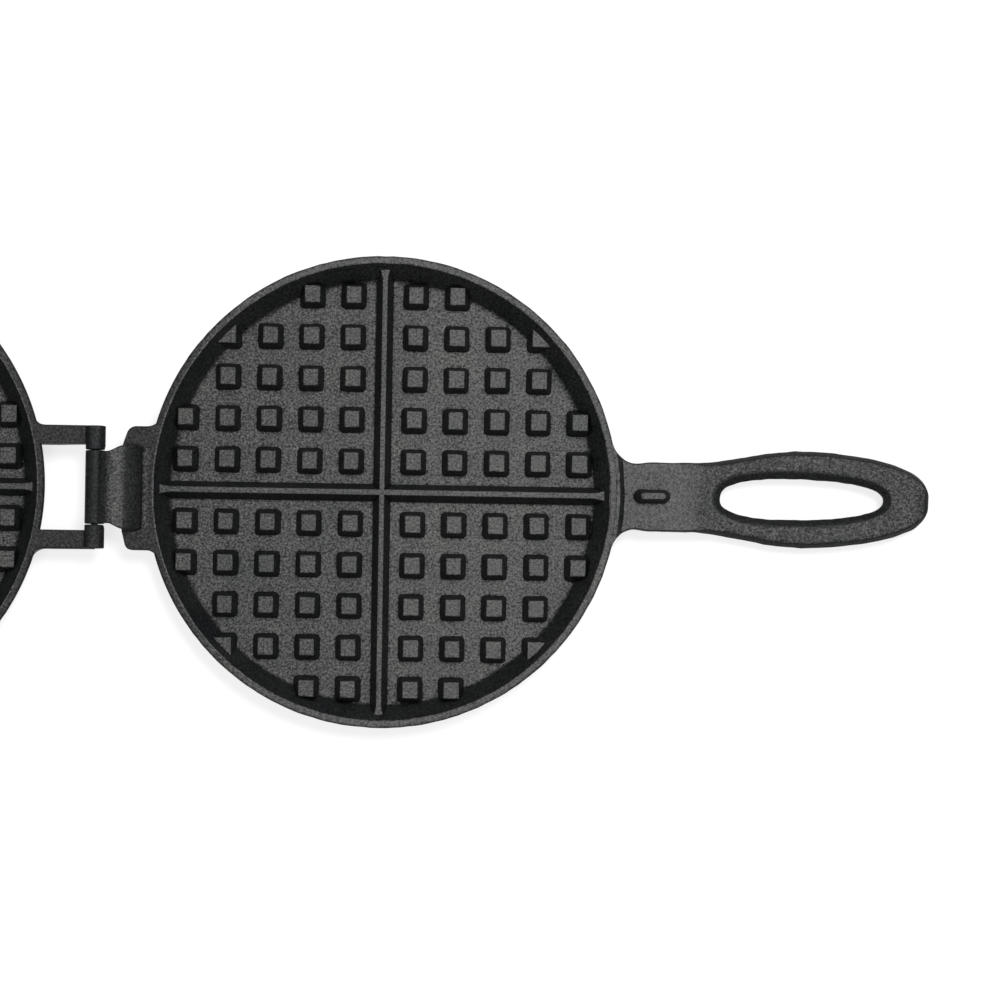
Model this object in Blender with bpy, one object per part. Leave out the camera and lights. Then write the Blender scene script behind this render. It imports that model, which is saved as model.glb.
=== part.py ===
"""Stovetop waffle iron in cast iron: two hinged plates with looped handles and a hinge pin.

Metres, +Z up. The origin is the centre of the lower plate's flat back, +X runs to its handle.
The upper plate is drawn open flat, turned half a turn about the hinge from its closed place.
"""

import math

import bpy
import bmesh
from mathutils import Matrix

# Pan of a plate, turned about its own centre
PAN_DIAMETER = 0.190
PLATE_HEIGHT = 0.015
FLOOR_THICKNESS = 0.0055
RIM_WIDTH = 0.0033
WALL_RUN = 0.0062
FOOT_ROUND = 0.0016
RIM_ROUND = 0.0005
BACK_TAPER = 0.0030
BACK_ROUND = 0.0025
PAN_STEPS = 72
ARC_STEPS = 3

# Studs and cross rib that mould the waffle
STUD_PITCH = 0.01675
STUD_FIRST = 0.0126
STUD_TOP = 0.0067
STUD_OVERREACH = 0.0012
STUD_FOOT = 0.0104
STUD_EDGE = 0.0005
STUD_BELOW_RIM = 0.0034
RIB_TOP_LONG = 0.0026
RIB_TOP_CROSS = 0.0020
RIB_FLANK = 0.0021
GRID_MARGIN = 0.0039
GRID_ROOT = 0.0010

# Looped handle
NECK_HALF_WIDTH = 0.0139
BOW_HALF_WIDTH = 0.0196
NECK_LENGTH = 0.027
BOW_LENGTH = 0.050
TIP_LENGTH = 0.0497
TIP_FULLNESS = 2.25
HANDLE_DROP = 0.0022
STEP_BELOW_RIM = 0.0004
STEP_RUN = 0.0020
HANDLE_THICKNESS = 0.0072
GRIP_DROP = 0.0026
GRIP_SLOPE = 0.014
TIP_DROP = 0.0016
TIP_SLOPE = 0.022
TIP_ROUND = 0.0011
HANDLE_EDGE = 0.0020
NECK_FILLET = 0.0035
HANDLE_ROOT = 0.0040
LOOP_FROM_PAN = 0.0746
LOOP_HALF_LENGTH = 0.0327
LOOP_HALF_WIDTH = 0.0082
LOOP_EDGE = 0.0024
LOOP_FULLNESS = 2.4
BOW_STATIONS = 7
TIP_STATIONS = 9
LOOP_STEPS = 40

# Peg on the lower handle and its socket in the upper one
PEG_FROM_PAN = 0.0140
PEG_TOP_LENGTH = 0.0100
PEG_TOP_WIDTH = 0.0026
PEG_FLANK = 0.0018
PEG_ENGAGEMENT = 0.0012
PEG_CLEARANCE = 0.0005
PEG_END_STEPS = 6
PEG_ROOT = 0.0010
PEG_EDGE = 0.0004

# Hinge: tongue and ears of the lower plate, arms of the upper plate, and the pin
CLOSED_GAP = 0.0003
AXIS_FROM_PAN = 0.0203
KNUCKLE_RADIUS = 0.0040
PIN_RADIUS = 0.0014
PIN_GAP = 0.0003
PIN_PROUD = 0.0010
PIN_END_ROUND = 0.0006
TONGUE_TIP_HALF = 0.0147
TONGUE_ROOT_HALF = 0.0169
TONGUE_FLARE = 0.0075
TONGUE_ARCH_RADIUS = 0.0115
TONGUE_THICKNESS = 0.0045
TONGUE_OUTER_START = 15
TONGUE_INNER_START = -45
TONGUE_CREST = 0.0060
TONGUE_ARCH_FROM_PAN = 0.0118
TONGUE_ROOT_DEPTH = 0.0110
TONGUE_SHOULDER_DEPTH = 0.0026
TONGUE_ROOT = 0.0032
TONGUE_STEPS = 16
EAR_INNER = 0.0166
EAR_OUTER = 0.0249
EAR_LENGTH = 0.0088
EAR_DEPTH = 0.0090
EAR_CORNER = 0.0024
EAR_FILLET = 0.0060
EAR_OVERLAP = 0.0008
EAR_EDGE = 0.0008
EAR_ROOT = 0.0026
ARM_CLEARANCE = 0.0004
ARM_NECK_DEPTH = 0.0060
ARM_TAPER_START = 0.0045
KNUCKLE_INSET = 0.0003
KNUCKLE_STEPS = 24
OVERRUN = 0.0020
MERGE = 0.00001
SHARP_ANGLE = math.radians(35)

# Values that follow from the sizes above
PAN_RADIUS = PAN_DIAMETER / 2
CAVITY_RADIUS = PAN_RADIUS - RIM_WIDTH
GRID_RADIUS = CAVITY_RADIUS - GRID_MARGIN
STUD_REACH = GRID_RADIUS + STUD_OVERREACH
HINGE_X = -(PAN_RADIUS + AXIS_FROM_PAN)
HINGE_Z = PLATE_HEIGHT + CLOSED_GAP / 2
PIN_HALF_LENGTH = TONGUE_TIP_HALF + PIN_PROUD
ARM_INNER = TONGUE_ROOT_HALF + ARM_CLEARANCE
BOSS_INNER = TONGUE_TIP_HALF + ARM_CLEARANCE
BORE_RADIUS = PIN_RADIUS + PIN_GAP
HANDLE_TOP = PLATE_HEIGHT - HANDLE_DROP
GRIP_TOP = HANDLE_TOP - GRIP_DROP
NECK_END = PAN_RADIUS + NECK_LENGTH
BOW_MIDDLE = NECK_END + BOW_LENGTH
PEG_HEIGHT = CLOSED_GAP + HANDLE_DROP * 2 + PEG_ENGAGEMENT

for leftover in list(bpy.data.objects):
    bpy.data.objects.remove(leftover)


def collection(name):
    made = bpy.data.collections.new(name)
    bpy.context.scene.collection.children.link(made)
    return made


PARTS = collection("stovetop_waffle_iron")
CUTTERS = collection("cutters")


def material(name, colour, roughness, metallic):
    made = bpy.data.materials.new(name)
    made.use_nodes = True
    shader = made.node_tree.nodes["Principled BSDF"]
    shader.inputs["Base Color"].default_value = (*colour, 1)
    shader.inputs["Roughness"].default_value = roughness
    shader.inputs["Metallic"].default_value = metallic
    return made


def object_from_bmesh(name, shape, home):
    """Makes an object from a bmesh, with its faces turned outwards."""
    bmesh.ops.recalc_face_normals(shape, faces=shape.faces)
    mesh = bpy.data.meshes.new(name)
    shape.to_mesh(mesh)
    shape.free()
    mesh.shade_smooth()
    mesh.set_sharp_from_angle(angle=SHARP_ANGLE)
    made = bpy.data.objects.new(name, mesh)
    home.objects.link(made)
    if home is CUTTERS:
        made.hide_render = True
        made.display_type = "WIRE"
    return made


def boolean(target, tool, operation, solver="EXACT"):
    change = target.modifiers.new(tool.name, "BOOLEAN")
    change.operation = operation
    change.solver = solver
    change.object = tool


def arc(centre, radius, start, end, steps):
    """Points of an arc, from the start angle to the end angle in degrees, both included."""
    points = []
    for step in range(steps + 1):
        angle = math.radians(start + (end - start) * step / steps)
        points.append((centre[0] + radius * math.cos(angle), centre[1] + radius * math.sin(angle)))
    return points


def smooth(share):
    share = min(max(share, 0), 1)
    return share * share * (3 - 2 * share)


def turned_pan(name, home):
    """The pan: flat floor, sloped inner wall, flat rim, and an outer wall that tapers to the back."""
    foot_radius = CAVITY_RADIUS - WALL_RUN
    back_radius = PAN_RADIUS - BACK_TAPER
    slope = math.degrees(math.atan2(PLATE_HEIGHT - FLOOR_THICKNESS, WALL_RUN))
    set_back = FOOT_ROUND * math.tan(math.radians(slope / 2))
    foot_centre = (foot_radius - set_back, FLOOR_THICKNESS + FOOT_ROUND)
    profile = arc(foot_centre, FOOT_ROUND, -90, slope - 90, ARC_STEPS)
    profile += arc((CAVITY_RADIUS + RIM_ROUND, PLATE_HEIGHT - RIM_ROUND), RIM_ROUND, 90 + slope, 90, 2)
    profile += arc((PAN_RADIUS - RIM_ROUND, PLATE_HEIGHT - RIM_ROUND), RIM_ROUND, 90, 0, 2)
    profile += arc((back_radius - BACK_ROUND, BACK_ROUND), BACK_ROUND, 0, -90, ARC_STEPS)
    shape = bmesh.new()
    points = [shape.verts.new((radius, 0, height)) for radius, height in profile]
    edges = [shape.edges.new(pair) for pair in zip(points, points[1:])]
    bmesh.ops.spin(
        shape, geom=points + edges, cent=(0, 0, 0), axis=(0, 0, 1), angle=math.tau,
        steps=PAN_STEPS, use_merge=True,
    )
    bmesh.ops.remove_doubles(shape, verts=shape.verts, dist=MERGE)
    open_edges = [edge for edge in shape.edges if edge.is_boundary]
    bmesh.ops.holes_fill(shape, edges=open_edges)
    return object_from_bmesh(name, shape, home)


def loft(shape, sections):
    """Joins sections of equal point count with side faces, and closes both ends."""
    rings = [[shape.verts.new(point) for point in section] for section in sections]
    count = len(rings[0])
    for lower, upper in zip(rings, rings[1:]):
        for k in range(count):
            follow = (k + 1) % count
            shape.faces.new((lower[k], lower[follow], upper[follow], upper[k]))
    shape.faces.new(rings[0])
    shape.faces.new(rings[-1])


def oblong(centre, half_length, half_width, height):
    """Corners of a level rectangle."""
    signs = ((-1, -1), (1, -1), (1, 1), (-1, 1))
    return [(centre[0] + a * half_length, centre[1] + b * half_width, height) for a, b in signs]


def slot_outline(centre, length, width, height):
    """A level outline with two straight sides and round ends."""
    radius = width / 2
    reach = length / 2 - radius
    ends = arc((centre[0] + reach, centre[1]), radius, -90, 90, PEG_END_STEPS)
    ends += arc((centre[0] - reach, centre[1]), radius, 90, 270, PEG_END_STEPS)
    return [(x, y, height) for x, y in ends]


def waffle_grid(name):
    """Drafted studs cut to the cavity's round, and the cross rib that runs out into its wall."""
    low = FLOOR_THICKNESS - GRID_ROOT
    high = PLATE_HEIGHT - STUD_BELOW_RIM
    places = []
    place = STUD_FIRST
    while place < CAVITY_RADIUS:
        places += [-place, place]
        place += STUD_PITCH
    shape = bmesh.new()
    foot, top = STUD_FOOT / 2, STUD_TOP / 2
    for x in places:
        for y in places:
            if math.hypot(x, y) < STUD_REACH:
                loft(shape, (
                    oblong((x, y), foot, foot, low),
                    oblong((x, y), top, top, high - STUD_EDGE),
                    oblong((x, y), top - STUD_EDGE, top - STUD_EDGE, high),
                ))
    studs = object_from_bmesh(name + "_studs", shape, CUTTERS)
    shape = bmesh.new()
    bmesh.ops.create_cone(
        shape, cap_ends=True, segments=PAN_STEPS, radius1=GRID_RADIUS, radius2=GRID_RADIUS,
        depth=PLATE_HEIGHT * 2,
    )
    rounding = object_from_bmesh(name + "_rounding", shape, CUTTERS)
    boolean(studs, rounding, "INTERSECT")
    for turned, width in ((False, RIB_TOP_LONG), (True, RIB_TOP_CROSS)):
        top = width / 2
        shape = bmesh.new()
        sections = []
        for half, height in ((top + RIB_FLANK, low), (top, high - STUD_EDGE), (top - STUD_EDGE, high)):
            sides = (half, CAVITY_RADIUS) if turned else (CAVITY_RADIUS, half)
            sections.append(oblong((0, 0), *sides, height))
        loft(shape, sections)
        rib = object_from_bmesh(name + ("_rib_cross" if turned else "_rib_long"), shape, CUTTERS)
        boolean(studs, rib, "UNION")
    return studs


def half_width(x):
    """Half the handle's width at a distance from the pan's centre, before its tip."""
    if x < PAN_RADIUS + NECK_FILLET:
        rise = min((PAN_RADIUS + NECK_FILLET - x) / NECK_FILLET, 1)
        return NECK_HALF_WIDTH + NECK_FILLET * (1 - math.sqrt(1 - rise * rise))
    grown = smooth((x - NECK_END) / BOW_LENGTH)
    return NECK_HALF_WIDTH + (BOW_HALF_WIDTH - NECK_HALF_WIDTH) * grown


def handle_section(x, half, top, bottom, edge):
    """A section across the handle, with rounded long edges."""
    corner = arc((half - edge, top - edge), edge, 0, 90, 2)
    corner += [(-y, z) for y, z in reversed(corner)]
    level = (top + bottom) / 2
    corner += [(y, level * 2 - z) for y, z in reversed(corner)]
    return [(x, y, z) for y, z in corner]


def handle_levels(x):
    """Top and bottom of the handle: step at the rim, slope, grip, and a tip that dips a little."""
    step = min(max((PAN_RADIUS + STEP_RUN - x) / STEP_RUN, 0), 1) * (HANDLE_DROP - STEP_BELOW_RIM)
    slope = smooth((x - NECK_END) / GRIP_SLOPE)
    dip = smooth((x - BOW_MIDDLE - TIP_LENGTH + TIP_SLOPE) / TIP_SLOPE)
    top = HANDLE_TOP - GRIP_DROP * slope - TIP_DROP * dip
    return top + step, top - HANDLE_THICKNESS


def fuller(share):
    """Turns a circle's share into that of the loop, whose ends are blunter than an ellipse's."""
    return math.copysign(abs(share) ** (2 / LOOP_FULLNESS), share)


def handle(name):
    """The handle's blank, lofted along its length, with the long loop cut through it."""
    stations = [PAN_RADIUS - HANDLE_ROOT]
    stations += [PAN_RADIUS + NECK_FILLET * k / 3 for k in range(4)]
    stations += [NECK_END + GRIP_SLOPE * k / 3 for k in range(4)]
    rest = BOW_LENGTH - GRIP_SLOPE
    stations += [NECK_END + GRIP_SLOPE + rest * (k + 1) / BOW_STATIONS for k in range(BOW_STATIONS)]
    sections = [handle_section(x, half_width(x), *handle_levels(x), HANDLE_EDGE) for x in stations]
    for k in range(1, TIP_STATIONS):
        share = math.sin(math.radians(90 * k / TIP_STATIONS))
        x = BOW_MIDDLE + TIP_LENGTH * share
        half = BOW_HALF_WIDTH * math.sqrt(1 - share ** TIP_FULLNESS)
        sections.append(handle_section(x, half, *handle_levels(x), HANDLE_EDGE))
    x = BOW_MIDDLE + TIP_LENGTH
    top, bottom = handle_levels(x)
    half -= TIP_ROUND
    sections.append(handle_section(x, half, top - TIP_ROUND, bottom + TIP_ROUND, HANDLE_EDGE - TIP_ROUND))
    shape = bmesh.new()
    loft(shape, sections)
    blank = object_from_bmesh(name + "_handle", shape, CUTTERS)

    levels = []
    for side, rise in arc((0, 0), LOOP_EDGE, 0, 90, ARC_STEPS):
        levels.append((LOOP_EDGE - side, GRIP_TOP - LOOP_EDGE + rise))
    levels.append((LOOP_EDGE, GRIP_TOP + OVERRUN))
    middle = GRIP_TOP - HANDLE_THICKNESS / 2
    levels = [(out, middle * 2 - height) for out, height in reversed(levels)] + levels
    shape = bmesh.new()
    sections = []
    for out, height in levels:
        ring = []
        for k in range(LOOP_STEPS):
            turn = math.tau * k / LOOP_STEPS
            along = fuller(math.cos(turn)) * (LOOP_HALF_LENGTH + out)
            across = fuller(math.sin(turn)) * (LOOP_HALF_WIDTH + out)
            ring.append((PAN_RADIUS + LOOP_FROM_PAN + along, across, height))
        sections.append(ring)
    loft(shape, sections)
    boolean(blank, object_from_bmesh(name + "_loop", shape, CUTTERS), "DIFFERENCE")
    return blank


def rod(name, x, z, radius, near, far, steps):
    """A round bar that runs along Y at the given place."""
    shape = bmesh.new()
    bmesh.ops.create_cone(
        shape, cap_ends=True, segments=steps, radius1=radius, radius2=radius, depth=far - near,
        matrix=Matrix.Translation((x, (near + far) / 2, z)) @ Matrix.Rotation(math.pi / 2, 4, "X"),
    )
    return object_from_bmesh(name, shape, CUTTERS)


def lug(name, side, inner, stations):
    """A lug beside the hinge, lofted away from the pan, its upper face level with the rim."""
    root_radius = PAN_RADIUS - EAR_ROOT
    sections = []
    for x, outer, bottom in stations:
        points = (
            (inner, PLATE_HEIGHT), (outer - EAR_EDGE, PLATE_HEIGHT), (outer, PLATE_HEIGHT - EAR_EDGE),
            (outer, bottom + EAR_EDGE), (outer - EAR_EDGE, bottom), (inner, bottom),
        )
        section = []
        for y, z in points:
            section.append((min(x, -math.sqrt(root_radius ** 2 - y * y)), side * y, z))
        sections.append(section)
    shape = bmesh.new()
    loft(shape, sections)
    bmesh.ops.remove_doubles(shape, verts=shape.verts, dist=MERGE)
    return object_from_bmesh(name, shape, CUTTERS)


def lug_root_stations():
    """The root of a lug: it leaves the pan in a hollow curve and runs out straight."""
    widest = EAR_OUTER + EAR_FILLET
    centre_x = -(math.sqrt(PAN_RADIUS ** 2 - widest ** 2) + EAR_FILLET - EAR_OVERLAP)
    bottom = PLATE_HEIGHT - EAR_DEPTH
    stations = [(0, widest, bottom)]
    for x, y in arc((centre_x, widest), EAR_FILLET, 0, -90, ARC_STEPS + 1):
        stations.append((x, y, bottom))
    return stations


def ear(name, side):
    """A short ear of the lower plate, with a rounded outer corner."""
    stations = lug_root_stations()
    bottom = PLATE_HEIGHT - EAR_DEPTH
    corner = (-(PAN_RADIUS + EAR_LENGTH - EAR_CORNER), EAR_OUTER - EAR_CORNER)
    for x, y in arc(corner, EAR_CORNER, 90, 180, ARC_STEPS):
        stations.append((x, max(y, corner[1] + EAR_EDGE), bottom))
    return lug(name, side, EAR_INNER, stations)


def arm(name, side):
    """A long arm of the upper plate, which thins towards the hinge."""
    stations = lug_root_stations()
    bottom = PLATE_HEIGHT - EAR_DEPTH
    stations.append((-(PAN_RADIUS + ARM_TAPER_START), EAR_OUTER, bottom))
    middle_x = -(PAN_RADIUS + (ARM_TAPER_START + AXIS_FROM_PAN) / 2)
    stations.append((middle_x, EAR_OUTER, PLATE_HEIGHT - ARM_NECK_DEPTH))
    stations.append((HINGE_X, EAR_OUTER, HINGE_Z - KNUCKLE_RADIUS + KNUCKLE_INSET))
    return lug(name, side, ARM_INNER, stations)


def tongue(name):
    """The arched tongue between the ears, which narrows to the barrel that holds the pin."""
    centre_x = -(PAN_RADIUS + TONGUE_ARCH_FROM_PAN)
    centre_z = PLATE_HEIGHT + TONGUE_CREST - TONGUE_ARCH_RADIUS
    end = math.degrees(math.atan2(HINGE_Z - centre_z, HINGE_X - centre_x))
    outer = arc((centre_x, centre_z), TONGUE_ARCH_RADIUS, TONGUE_OUTER_START, end, TONGUE_STEPS)
    inner_radius = TONGUE_ARCH_RADIUS - TONGUE_THICKNESS
    inner = arc((centre_x, centre_z), inner_radius, TONGUE_INNER_START, end, TONGUE_STEPS)
    shoulder = PLATE_HEIGHT - TONGUE_SHOULDER_DEPTH
    root = PLATE_HEIGHT - TONGUE_ROOT_DEPTH
    wall = -(PAN_RADIUS - TONGUE_ROOT)
    outer = [(wall, shoulder), (-PAN_RADIUS, shoulder)] + outer
    inner = [(wall, root), (-PAN_RADIUS - TONGUE_SHOULDER_DEPTH, root)] + inner
    narrow = TONGUE_TIP_HALF - KNUCKLE_INSET
    flare_start = HINGE_X + KNUCKLE_RADIUS + ARM_CLEARANCE
    sections = []
    for high, low in zip(outer, inner):
        length = math.dist(high, low)
        edge = [high[k] + (low[k] - high[k]) * EAR_EDGE / length for k in (0, 1)]
        points = ((high, EAR_EDGE), (edge, 0), (low, 0))
        ring = []
        for (x, z), inset in points:
            spread = smooth((x - flare_start) / TONGUE_FLARE)
            half = narrow + (TONGUE_ROOT_HALF - narrow) * spread - inset
            ring.append((x, half, z))
        ring += [(x, -y, z) for x, y, z in reversed(ring)]
        sections.append(ring)
    shape = bmesh.new()
    loft(shape, sections)
    return object_from_bmesh(name, shape, CUTTERS)


def peg(name, length, width, flank, low, high, edge):
    """A drafted peg or recess with round ends."""
    centre = (PAN_RADIUS + PEG_FROM_PAN, 0)
    shape = bmesh.new()
    loft(shape, (
        slot_outline(centre, length + flank * 2, width + flank * 2, low),
        slot_outline(centre, length, width, high - edge),
        slot_outline(centre, length - edge, width - edge, high),
    ))
    return object_from_bmesh(name, shape, CUTTERS)


def cast_plate(name):
    """What both castings share: pan, studs, cross rib and looped handle."""
    plate = turned_pan(name, PARTS)
    boolean(plate, waffle_grid(name), "UNION")
    boolean(plate, handle(name), "UNION")
    return plate


def lower_plate():
    plate = cast_plate("lower_plate")
    for side in (-1, 1):
        boolean(plate, ear("ear_left" if side > 0 else "ear_right", side), "UNION")
    boolean(plate, tongue("tongue"), "UNION", "MANIFOLD")
    barrel = rod("barrel", HINGE_X, HINGE_Z, KNUCKLE_RADIUS, -TONGUE_TIP_HALF, TONGUE_TIP_HALF, KNUCKLE_STEPS)
    boolean(plate, barrel, "UNION")
    boolean(plate, peg("peg", PEG_TOP_LENGTH, PEG_TOP_WIDTH, PEG_FLANK,
                       HANDLE_TOP - PEG_ROOT, HANDLE_TOP + PEG_HEIGHT, PEG_EDGE), "UNION")
    reach = TONGUE_TIP_HALF + OVERRUN
    bore = rod("barrel_bore", HINGE_X, HINGE_Z, BORE_RADIUS, -reach, reach, KNUCKLE_STEPS)
    boolean(plate, bore, "DIFFERENCE")
    return plate


def upper_plate():
    plate = cast_plate("upper_plate")
    tools = []
    pocket_end = PIN_HALF_LENGTH + ARM_CLEARANCE
    for side, word in ((-1, "right"), (1, "left")):
        boolean(plate, arm("arm_" + word, side), "UNION")
        ends = sorted((side * BOSS_INNER, side * (EAR_OUTER - KNUCKLE_INSET)))
        knuckle = rod("knuckle_" + word, HINGE_X, HINGE_Z, KNUCKLE_RADIUS, *ends, KNUCKLE_STEPS)
        boolean(plate, knuckle, "UNION")
        ends = sorted((side * (BOSS_INNER - OVERRUN), side * pocket_end))
        bore = rod("pocket_" + word, HINGE_X, HINGE_Z, BORE_RADIUS, *ends, KNUCKLE_STEPS)
        tools.append(bore)
        shape = bmesh.new()
        sections = []
        for z in (HINGE_Z - BORE_RADIUS, HINGE_Z + BORE_RADIUS):
            middle_x = HINGE_X - (KNUCKLE_RADIUS + OVERRUN) / 2
            middle_y = sum(ends) / 2
            sections.append(oblong((middle_x, middle_y), (KNUCKLE_RADIUS + OVERRUN) / 2,
                                   (ends[1] - ends[0]) / 2, z))
        loft(shape, sections)
        slot = object_from_bmesh("slot_" + word, shape, CUTTERS)
        tools.append(slot)
    narrowing = PEG_FLANK * 2 * PEG_ENGAGEMENT / PEG_HEIGHT
    room = narrowing + PEG_CLEARANCE * 2
    depth = PEG_ENGAGEMENT + PEG_CLEARANCE
    tools.append(peg("peg_socket", PEG_TOP_LENGTH + room, PEG_TOP_WIDTH + room, 0,
                     HANDLE_TOP - depth, HANDLE_TOP + OVERRUN, 0))
    for tool in tools:
        boolean(plate, tool, "DIFFERENCE")
    axis = bpy.data.objects.new("hinge_axis", None)
    PARTS.objects.link(axis)
    axis.location = (HINGE_X, 0, HINGE_Z)
    plate.parent = axis
    plate.location = (HINGE_X, 0, -HINGE_Z)
    plate.rotation_euler.z = math.pi
    for tool in [change.object for change in plate.modifiers if change.type == "BOOLEAN"]:
        tool.parent = plate
        for change in tool.modifiers:
            change.object.parent = plate
    return plate


def hinge_pin():
    """The steel pin, driven through the barrel, its ends rounded over."""
    shape = bmesh.new()
    length = PIN_HALF_LENGTH - PIN_END_ROUND
    sections = []
    stations = arc((PIN_RADIUS - PIN_END_ROUND, length), PIN_END_ROUND, 0, 90, 2)
    for radius, y in [(radius, -y) for radius, y in reversed(stations)] + stations:
        ring = []
        for k in range(KNUCKLE_STEPS):
            turn = math.tau * k / KNUCKLE_STEPS
            ring.append((radius * math.cos(turn), y, radius * math.sin(turn)))
        sections.append(ring)
    loft(shape, sections)
    pin = object_from_bmesh("hinge_pin", shape, PARTS)
    pin.location = (HINGE_X, 0, HINGE_Z)
    return pin


IRON = (0.045, 0.046, 0.047)
STEEL = (0.16, 0.16, 0.165)
lower_plate().data.materials.append(material("cast_iron_lower", IRON, 0.62, 0.35))
upper_plate().data.materials.append(material("cast_iron_upper", IRON, 0.62, 0.35))
hinge_pin().data.materials.append(material("steel_pin", STEEL, 0.45, 1.0))
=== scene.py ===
"""Cast iron stovetop waffle iron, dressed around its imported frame: two hinged plates, open flat."""

import math
import random

import bpy
import bmesh
from mathutils import Matrix, Vector, noise


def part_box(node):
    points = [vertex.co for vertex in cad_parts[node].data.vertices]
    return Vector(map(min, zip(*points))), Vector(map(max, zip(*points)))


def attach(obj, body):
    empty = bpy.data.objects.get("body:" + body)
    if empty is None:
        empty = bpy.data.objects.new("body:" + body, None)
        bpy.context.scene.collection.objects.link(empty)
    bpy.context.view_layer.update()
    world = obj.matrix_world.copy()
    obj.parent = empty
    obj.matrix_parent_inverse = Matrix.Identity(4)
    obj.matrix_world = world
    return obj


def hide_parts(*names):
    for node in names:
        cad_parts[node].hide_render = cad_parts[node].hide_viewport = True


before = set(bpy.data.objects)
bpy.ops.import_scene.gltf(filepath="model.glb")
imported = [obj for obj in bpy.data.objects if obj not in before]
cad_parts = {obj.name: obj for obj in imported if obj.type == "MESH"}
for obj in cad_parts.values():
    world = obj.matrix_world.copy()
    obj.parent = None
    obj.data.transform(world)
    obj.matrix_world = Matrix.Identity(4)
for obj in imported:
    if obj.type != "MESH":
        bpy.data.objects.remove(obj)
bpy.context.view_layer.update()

# Pan. Each plate is a round casting of grey iron, poured in a sand mould with a draft on every
# wall: a flat floor, a sloped inner wall, a flat ground rim and a back that tapers in.
lower_low, lower_high = [Vector(corner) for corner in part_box("lower_plate")]
pan_radius = (lower_high.y - lower_low.y) / 2
rim_height = 0.015
floor_height = 0.0055
rim_width = 0.0033
wall_run = 0.0062
wall_foot_round = 0.0034
rim_round = 0.0007
rim_outer_round = 0.0014
rim_glint = 0.0002
back_taper = 0.0030
back_round = 0.0026
pan_steps = 200
wide_round_steps = 6
rim_round_steps = 4
rim_outer_steps = 5
merge_distance = 0.000005
cavity_radius = pan_radius - rim_width


def evenly(start, end, steps):
    """Values from start to end in equal steps, both ends among them."""
    return [start + (end - start) * step / steps for step in range(steps + 1)]


def arc(centre, radius, start, end, steps):
    """Points along a round, from one angle to another in degrees."""
    turns = [math.radians(turn) for turn in evenly(start, end, steps)]
    return [(centre[0] + radius * math.cos(turn), centre[1] + radius * math.sin(turn)) for turn in turns]


def piece_from(shape, name):
    """Cleans a shape and makes it a piece of its own."""
    bmesh.ops.remove_doubles(shape, verts=shape.verts, dist=merge_distance)
    bmesh.ops.triangulate(shape, faces=shape.faces)
    bmesh.ops.recalc_face_normals(shape, faces=shape.faces)
    mesh = bpy.data.meshes.new(name)
    shape.to_mesh(mesh)
    shape.free()
    piece = bpy.data.objects.new(name, mesh)
    bpy.context.scene.collection.objects.link(piece)
    return piece


def spun_pan(name):
    """Spins the pan's section about the upright axis and closes its floor and its back."""
    slope = math.degrees(math.atan2(rim_height - floor_height, wall_run))
    foot_x = cavity_radius - wall_run - wall_foot_round * math.tan(math.radians(slope / 2))
    foot_centre = (foot_x, floor_height + wall_foot_round)
    inner_centre = (cavity_radius + rim_round, rim_height - rim_round)
    outer_centre = (pan_radius - rim_outer_round, rim_height - rim_outer_round)
    back_centre = (pan_radius - back_taper - back_round, back_round)
    profile = arc(foot_centre, wall_foot_round, -90, slope - 90, wide_round_steps)
    profile += arc(inner_centre, rim_round, 90 + slope, 90, rim_round_steps)
    profile += [(cavity_radius + rim_round + rim_glint, rim_height)]
    profile += arc(outer_centre, rim_outer_round, 90, 0, rim_outer_steps)
    profile += arc(back_centre, back_round, 0, -90, wide_round_steps)
    shape = bmesh.new()
    points = [shape.verts.new((x, 0, z)) for x, z in profile]
    edges = [shape.edges.new(pair) for pair in zip(points, points[1:])]
    bmesh.ops.spin(shape, geom=points + edges, cent=(0, 0, 0), axis=(0, 0, 1), angle=math.tau,
                   steps=pan_steps, use_merge=True)
    bmesh.ops.remove_doubles(shape, verts=shape.verts, dist=merge_distance)
    bmesh.ops.holes_fill(shape, edges=[edge for edge in shape.edges if edge.is_boundary])
    return piece_from(shape, name)


# Studs. Eighty drafted pyramids with flat tops, cast in one with the floor in four square grids.
# Their corners and top edges come rounded from the sand, and their feet run out in small fillets.
stud_pitch = 0.01675
stud_first = 0.0126
stud_farthest = 0.0890
stud_top = (0.0063, 0.0070)
stud_foot = (0.0100, 0.0102)
stud_corner = 0.0005
stud_foot_corner = 0.0017
stud_corner_steps = 3
stud_edge = 0.0005
stud_edge_steps = 3
stud_fillet = 0.0006
stud_unevenness = 0.00010
mould_seed = 7
wall_stud_from = 0.0870
wall_stud_extra = 0.0020
grid_top = rim_height - 0.0034
grid_root = 0.0010
# Each pair is how far the fillet runs out, as a share of its size, and at what height.
fillet_shares = ((1.5, -grid_root), (1, 0), (0.35, stud_fillet * 0.3), (0, stud_fillet))
foot_fillet = [(stud_fillet * share, floor_height + rise) for share, rise in fillet_shares]


def ring_of(shape, places):
    """A closed loop of edges through the places, in their order."""
    points = [shape.verts.new(place) for place in places]
    return [shape.edges.new(pair) for pair in zip(points, points[1:] + points[:1])]


def soft_ring(shape, centre, half, corner, height):
    """A level loop of edges: a rectangle with round corners."""
    places = []
    for start, signs in ((0, (1, 1)), (90, (-1, 1)), (180, (-1, -1)), (270, (1, -1))):
        middle = [centre[k] + signs[k] * (half[k] - corner) for k in (0, 1)]
        places += [(x, y, height) for x, y in arc(middle, corner, start, start + 90, stud_corner_steps)]
    return ring_of(shape, places)


def close_stack(shape, rings):
    """Bridges loops of equal count in turn and closes both ends."""
    for lower_ring, upper_ring in zip(rings, rings[1:]):
        bmesh.ops.bridge_loops(shape, edges=lower_ring + upper_ring)
    for ring in (rings[0], rings[-1]):
        bmesh.ops.contextual_create(shape, geom=ring)


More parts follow.
